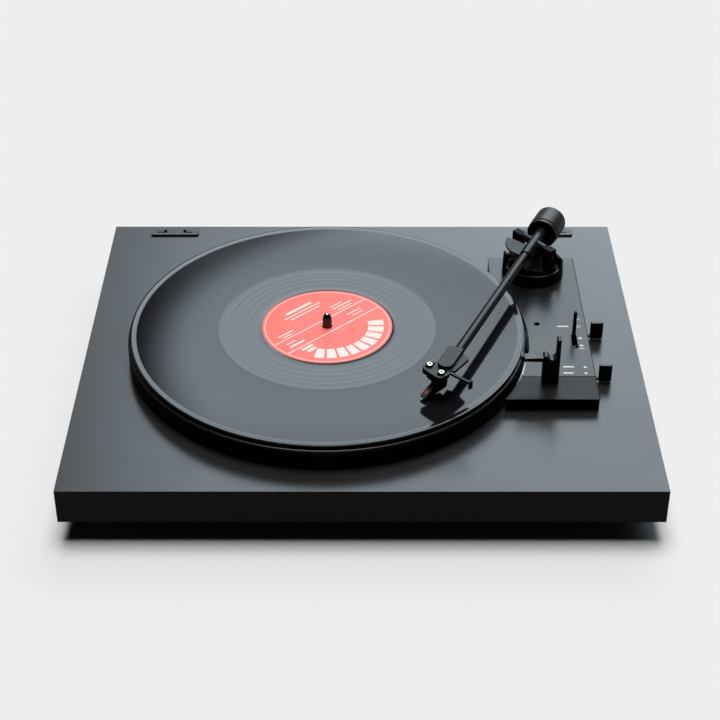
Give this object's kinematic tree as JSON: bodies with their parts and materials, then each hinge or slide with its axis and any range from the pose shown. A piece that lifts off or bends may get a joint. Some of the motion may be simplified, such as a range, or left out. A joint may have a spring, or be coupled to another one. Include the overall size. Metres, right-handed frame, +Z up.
{
  "type": "turntable record player",
  "caption": "Flat black turntable with a belt-driven platter, record, straight tonearm, cue lift, raised control panel and two side levers.",
  "frame": {"origin": "middle of the bounding box in X and Y, on the surface that the feet stand on", "axes": "+X to the right and +Y to the rear for a person in front of the player, +Z up"},
  "size_m": [0.425, 0.369, 0.0946],
  "materials": {
    "painted_board": "fibreboard with smooth satin black paint",
    "satin_plastic": "satin black moulding with fine texture",
    "painted_casting": "cast aluminium, satin black paint",
    "black_steel": "steel with a satin black finish",
    "black_plastic": "moulded black plastic",
    "rubber": "matt black rubber",
    "vinyl": "pressed black vinyl with fine grooves",
    "felt": "black felt",
    "steel": "polished steel",
    "zinc_plate": "zinc-plated steel",
    "aluminium": "turned aluminium",
    "anodised_black": "black anodised aluminium, satin",
    "brass": "turned brass",
    "circuit_board": "green circuit board with components",
    "label_paper": "printed paper label",
    "stylus_grey": "dark grey moulded plastic"
  },
  "bodies": {
    "case": {"plinth": "painted_board", "bottom_cover": "zinc_plate", "cover_screw_1": "zinc_plate", "cover_screw_2": "zinc_plate", "cover_screw_3": "zinc_plate", "cover_screw_4": "zinc_plate", "foot_front_left": "rubber", "foot_front_right": "rubber", "foot_rear_left": "rubber", "foot_rear_right": "rubber", "mechanism_chassis": "zinc_plate", "bearing_housing": "brass", "thrust_ball": "steel", "motor": "zinc_plate", "drive_belt": "rubber", "cam_gear_pin": "steel", "circuit_board": "circuit_board", "terminal_plate": "black_plastic", "power_socket": "black_plastic", "phono_socket_left": "steel", "phono_socket_right": "steel", "ground_post": "zinc_plate", "tonearm_panel": "satin_plastic", "panel_front_cover": "satin_plastic", "hinge_socket_left": "black_plastic", "hinge_socket_right": "black_plastic", "arm_rest": "black_plastic", "lift_guide": "black_plastic", "tonearm_base": "black_plastic", "turret_bearing": "brass"},
    "platter": {"platter": "painted_casting", "slip_mat": "felt", "record": "vinyl", "record_label": "label_paper", "sub_platter": "black_plastic", "spindle_shaft": "steel"},
    "pulley": {"motor_pulley": "aluminium"},
    "cam": {"cam_gear": "black_plastic"},
    "turret": {"tonearm_turret": "anodised_black", "turret_set_screw": "brass"},
    "arm": {"gimbal_cross": "anodised_black", "arm_tube": "anodised_black", "weight_stub": "anodised_black", "lift_plate": "anodised_black", "headshell": "anodised_black", "cartridge_screw_left": "steel", "cartridge_screw_right": "steel", "cartridge_body": "black_plastic", "stylus_unit": "stylus_grey"},
    "weight": {"counterweight": "black_steel"},
    "lift": {"lift_rod": "brass"},
    "cue": {"cue_lever": "black_plastic"},
    "speed": {"speed_lever": "steel", "speed_knob": "black_plastic"},
    "start": {"start_lever": "steel", "start_knob": "black_plastic"}
  },
  "joints": [
    {"name": "platter_spin", "type": "hinge", "parent": "case", "child": "platter", "pos_m": [-0.0266, -0.0082, 0.0455], "axis": [0, 0, 1], "continuous": true},
    {"name": "pulley_spin", "type": "hinge", "parent": "case", "child": "pulley", "pos_m": [-0.1216, 0.0618, 0.0455], "axis": [0, 0, 1], "continuous": true},
    {"name": "cam_turn", "type": "hinge", "parent": "case", "child": "cam", "pos_m": [-0.0018, -0.05115, 0.0419], "axis": [0, 0, 1], "continuous": true},
    {"name": "arm_swing", "type": "hinge", "parent": "case", "child": "turret", "pos_m": [0.1393, 0.0853, 0.0835], "axis": [0, 0, 1], "range_deg": [-18, 23.2]},
    {"name": "arm_lift", "type": "hinge", "parent": "turret", "child": "arm", "pos_m": [0.1393, 0.0853, 0.0835], "axis": [-0.632, 0.7749, 0], "range_deg": [-0.2, 6]},
    {"name": "weight_slide", "type": "slide", "parent": "arm", "child": "weight", "axis": [-0.4003, -0.9163, 0.0098], "range_m": [-0.005, 0.0015]},
    {"name": "cue_swing", "type": "hinge", "parent": "case", "child": "cue", "pos_m": [0.1634, -0.0082, 0.0435], "axis": [1, 0, 0], "range_deg": [0, 45]},
    {"name": "lift_slide", "type": "slide", "parent": "case", "child": "lift", "axis": [0, 0, 1], "range_m": [-0.00351, 0]},
    {"name": "speed_slide", "type": "slide", "parent": "case", "child": "speed", "axis": [0, 1, 0], "range_m": [0, 0.0103]},
    {"name": "start_slide", "type": "slide", "parent": "case", "child": "start", "axis": [0, 1, 0], "range_m": [-0.0034, 0.0034], "stiffness_N_per_m": 30}
  ],
  "couplings": [
    {"joint": "pulley_spin", "follows": "platter_spin", "ratio": 9.2857},
    {"joint": "lift_slide", "follows": "cue_swing", "m_per_rad": -0.004456}
  ]
}
